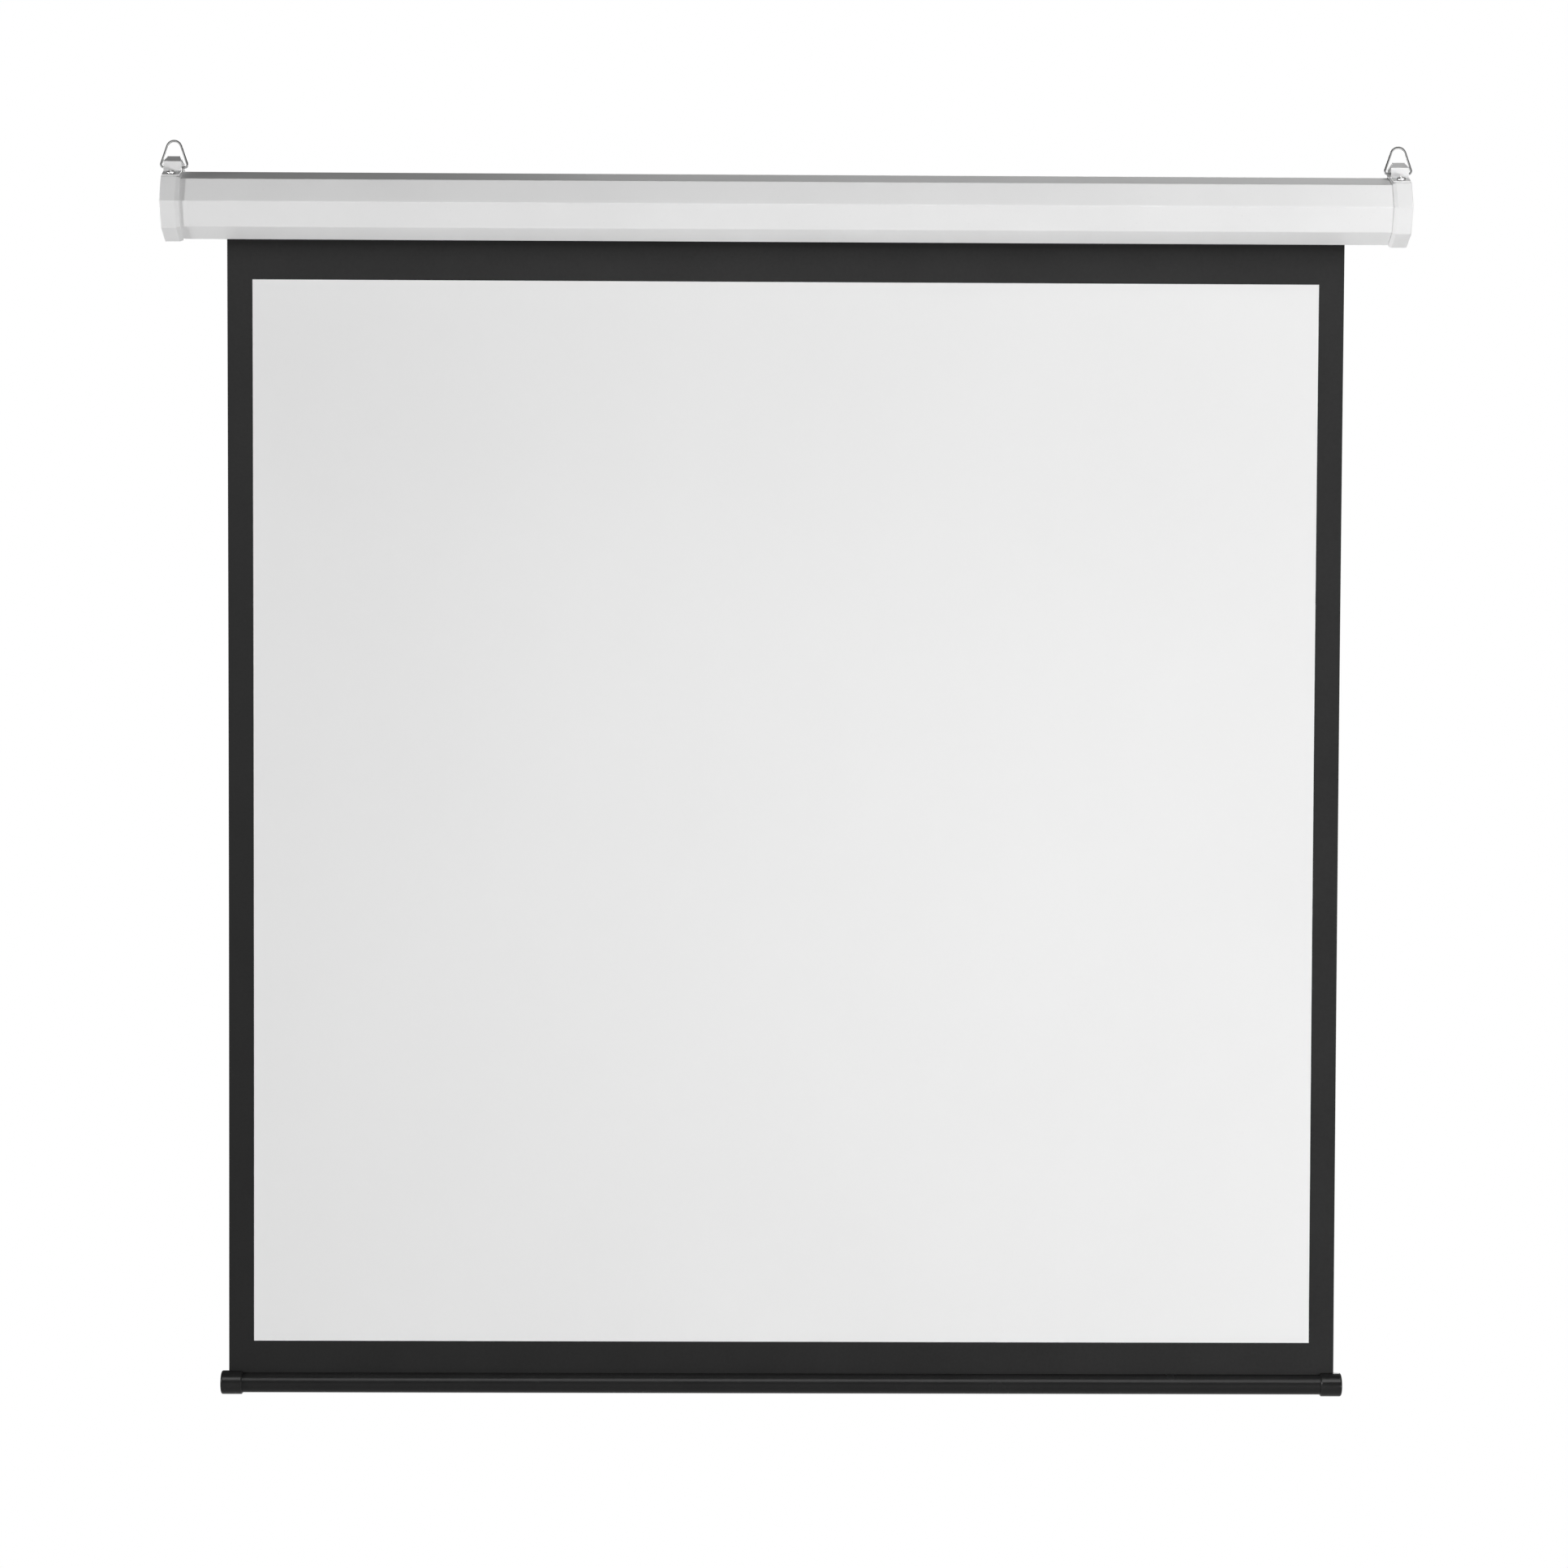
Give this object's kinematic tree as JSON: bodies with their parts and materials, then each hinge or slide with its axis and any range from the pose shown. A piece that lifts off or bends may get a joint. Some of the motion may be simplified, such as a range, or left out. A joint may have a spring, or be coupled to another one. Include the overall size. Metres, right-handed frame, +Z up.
{
  "type": "motorized projection screen",
  "caption": "Square white screen with a black border that rolls down from an octagonal case with hang rings, pulled flat by a round black bottom bar.",
  "frame": {"origin": "middle of the hang line, which joins the inner tops of the two hang rings", "axes": "+X to the right along the case as seen by the viewer, -Y towards the viewer, +Z up"},
  "size_m": [1.485, 0.0852, 1.4973],
  "materials": {
    "white_paint": "satin powder coat",
    "white_plastic": "fine satin",
    "black_paint": "satin powder coat",
    "black_plastic": "semi-gloss",
    "screen_white": "matte, finely embossed",
    "screen_black": "matte",
    "plated_wire": "bright nickel plate",
    "plated_screw": "zinc plate",
    "bracket_steel": "galvanized sheet",
    "machined_steel": "machined",
    "core_steel": "stacked sheet steel",
    "tube_aluminium": "mill finish",
    "winding_copper": "enamelled wire",
    "grey_plastic": "moulded",
    "lead_sheath": "matte"
  },
  "bodies": {
    "case": {"case_shell": "white_paint", "end_cap_left": "white_plastic", "end_cap_right": "white_plastic", "hanger_strap_left": "white_paint", "hanger_strap_right": "white_paint", "strap_screws": "plated_screw", "strap_nuts": "plated_screw", "cap_screws": "plated_screw", "motor_screws": "plated_screw", "motor_bracket": "bracket_steel", "idler_bracket": "bracket_steel", "cable_gland": "grey_plastic", "gland_nut": "grey_plastic", "terminal_block": "grey_plastic", "motor_lead": "lead_sheath", "motor_head": "grey_plastic", "motor_tube": "machined_steel", "run_capacitor": "white_plastic", "rear_shield": "tube_aluminium", "front_shield": "tube_aluminium", "rotor_bearings": "machined_steel", "stator_core": "core_steel", "stator_winding": "winding_copper", "ring_gear": "machined_steel", "output_plug": "tube_aluminium", "idler_bush": "grey_plastic", "fabric_backing": "screen_black", "viewing_surface": "screen_white"},
    "roller": {"roller_tube": "tube_aluminium", "fabric_turns": "screen_black", "limit_crown": "grey_plastic", "drive_wheel": "grey_plastic", "output_shaft": "machined_steel", "planet_pins": "machined_steel", "shaft_clip": "machined_steel", "idler_plug": "grey_plastic", "idler_pin": "machined_steel", "roller_rivets": "tube_aluminium"},
    "rotor": {"rotor_core": "core_steel", "rotor_shaft": "machined_steel", "sun_gear": "machined_steel"},
    "planet_1": {"planet_gear_1": "machined_steel"},
    "planet_2": {"planet_gear_2": "machined_steel"},
    "planet_3": {"planet_gear_3": "machined_steel"},
    "bottom_bar": {"bar_tube": "black_paint", "bar_cap_left": "black_plastic", "bar_cap_right": "black_plastic", "hem_loop": "screen_black", "hem_rod": "machined_steel"},
    "ring_left": {"hang_ring_left": "plated_wire"},
    "ring_right": {"hang_ring_right": "plated_wire"},
    "limit_up": {"limit_screw_up": "plated_screw"},
    "limit_down": {"limit_screw_down": "plated_screw"}
  },
  "joints": [
    {"name": "screen_drop", "type": "slide", "parent": "case", "child": "bottom_bar", "axis": [0, 0, 1], "range_m": [0, 1.35], "deforming": ["fabric_backing", "viewing_surface"]},
    {"name": "roller_turn", "type": "hinge", "parent": "case", "child": "roller", "pos_m": [0, -0.008, -0.07415], "axis": [1, 0, 0], "range_deg": [0, 3720]},
    {"name": "rotor_turn", "type": "hinge", "parent": "case", "child": "rotor", "pos_m": [-0.57, -0.008, -0.07415], "axis": [1, 0, 0], "range_deg": [0, 16740]},
    {"name": "planet_1_turn", "type": "hinge", "parent": "roller", "child": "planet_1", "pos_m": [-0.499, -0.00032, -0.07415], "axis": [1, 0, 0], "range_deg": [-10416, 0]},
    {"name": "planet_2_turn", "type": "hinge", "parent": "roller", "child": "planet_2", "pos_m": [-0.499, -0.01184, -0.0675], "axis": [1, 0, 0], "range_deg": [-10416, 0]},
    {"name": "planet_3_turn", "type": "hinge", "parent": "roller", "child": "planet_3", "pos_m": [-0.499, -0.01184, -0.08081], "axis": [1, 0, 0], "range_deg": [-10416, 0]},
    {"name": "ring_left_swing", "type": "hinge", "parent": "case", "child": "ring_left", "pos_m": [-0.72555, 0, -0.0297], "axis": [1, 0, 0], "range_deg": [-55, 55]},
    {"name": "ring_right_swing", "type": "hinge", "parent": "case", "child": "ring_right", "pos_m": [0.72555, 0, -0.0297], "axis": [1, 0, 0], "range_deg": [-55, 55]},
    {"name": "limit_up_set", "type": "hinge", "parent": "case", "child": "limit_up", "pos_m": [-0.7217, 0.0005, -0.08888], "axis": [0, 0.5, -0.866], "continuous": true},
    {"name": "limit_down_set", "type": "hinge", "parent": "case", "child": "limit_down", "pos_m": [-0.7127, 0.0005, -0.08888], "axis": [0, 0.5, -0.866], "continuous": true}
  ],
  "couplings": [
    {"joint": "roller_turn", "follows": "screen_drop", "rad_per_m": 48},
    {"joint": "rotor_turn", "follows": "screen_drop", "rad_per_m": 216},
    {"joint": "planet_1_turn", "follows": "screen_drop", "rad_per_m": -134.4},
    {"joint": "planet_2_turn", "follows": "screen_drop", "rad_per_m": -134.4},
    {"joint": "planet_3_turn", "follows": "screen_drop", "rad_per_m": -134.4}
  ]
}
